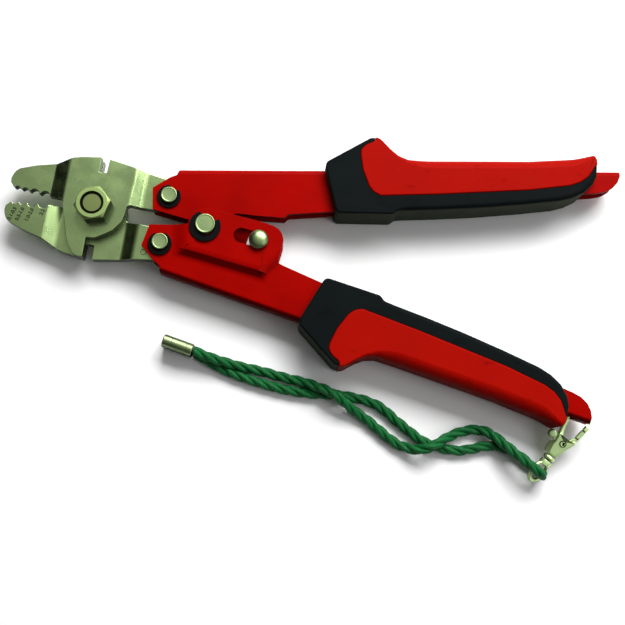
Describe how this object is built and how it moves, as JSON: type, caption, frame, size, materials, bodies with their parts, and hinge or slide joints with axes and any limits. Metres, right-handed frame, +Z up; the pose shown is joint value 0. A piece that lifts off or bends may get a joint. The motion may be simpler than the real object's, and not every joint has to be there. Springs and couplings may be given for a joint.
{
  "type": "fishing pliers",
  "caption": "Compound-leverage fishing crimper and wire cutter with joggled jaws, channel handles, two-tone grips, slide lock and a rope lanyard on a swivel snap.",
  "frame": {"origin": "centre of the jaw pivot bolt's head face, on the surface that the open pliers lie on", "axes": "+X from the jaws to the handles, +Y to the upper handle, +Z up from the bolt head to the nut"},
  "size_m": [0.2491, 0.1349, 0.0202],
  "materials": {
    "jaw_steel": "ground, satin",
    "plated_steel": "zinc-nickel plated, satin",
    "black_steel": "black oxide",
    "red_paint": "semi-gloss powder coat",
    "black_rubber": "matte",
    "red_rubber": "satin",
    "nickel": "nickel plated",
    "spring_steel": "oiled",
    "aluminium": "satin",
    "green_rope": "twisted synthetic fibre"
  },
  "bodies": {
    "lower_handle": {"lower_handle_channel": "red_paint", "lower_toggle_pin": "plated_steel", "lower_toggle_clip": "black_steel", "handle_pivot_pin": "plated_steel", "handle_pivot_clip": "black_steel", "opening_spring": "spring_steel", "lower_grip_base": "black_rubber", "lower_grip_inlay": "red_rubber"},
    "upper_handle": {"upper_handle_channel": "red_paint", "upper_toggle_pin": "plated_steel", "upper_toggle_clip": "black_steel", "upper_grip_base": "black_rubber", "upper_grip_inlay": "red_rubber"},
    "lower_jaw": {"lower_jaw": "jaw_steel", "pivot_bolt": "plated_steel", "pivot_nut": "plated_steel"},
    "upper_jaw": {"upper_jaw": "jaw_steel"},
    "lock": {"lock_button": "plated_steel", "lock_button_washer": "black_steel"},
    "snap": {"snap_hook_body": "nickel", "snap_rivet": "black_steel"},
    "snap_gate_arm": {"snap_gate": "nickel"},
    "swivel": {"swivel_eye": "nickel", "lanyard_rope": "green_rope", "lanyard_ferrule": "aluminium"}
  },
  "joints": [
    {"name": "handle_close", "type": "hinge", "parent": "lower_handle", "child": "upper_handle", "pos_m": [0.0456, 0, 0.009], "axis": [0, 0, -1], "range_deg": [0, 18.8], "stiffness_Nm_per_rad": 0.5, "springref_deg": -14.32, "deforming": ["opening_spring"]},
    {"name": "lower_jaw_turn", "type": "hinge", "parent": "lower_handle", "child": "lower_jaw", "pos_m": [0.0288, -0.00985, 0.009], "axis": [0, 0, -1], "range_deg": [0, 14.78]},
    {"name": "upper_jaw_turn", "type": "hinge", "parent": "lower_jaw", "child": "upper_jaw", "pos_m": [0, 0, 0.009], "axis": [0, 0, 1], "range_deg": [0, 10.65]},
    {"name": "lock_slide", "type": "slide", "parent": "lower_handle", "child": "lock", "axis": [-0.9946, 0.1036, 0], "range_m": [0, 0.0074]},
    {"name": "snap_swing", "type": "hinge", "parent": "lower_handle", "child": "snap", "pos_m": [0.20734, -0.05158, 0.009], "axis": [0, 0, 1], "range_deg": [0, 55]},
    {"name": "snap_gate_open", "type": "hinge", "parent": "snap", "child": "snap_gate_arm", "pos_m": [0.2023, -0.06226, 0.00663], "axis": [-0.0991, -0.171, 0.9803], "range_deg": [0, 7], "stiffness_Nm_per_rad": 0.02, "springref_deg": -17.19},
    {"name": "swivel_turn", "type": "hinge", "parent": "snap", "child": "swivel", "pos_m": [0.19811, -0.06889, 0.00505], "axis": [0.4916, 0.8481, 0.1977], "continuous": true}
  ],
  "couplings": [
    {"joint": "lower_jaw_turn", "follows": "handle_close", "ratio": 0.78116},
    {"joint": "upper_jaw_turn", "follows": "handle_close", "ratio": 0.56233}
  ]
}
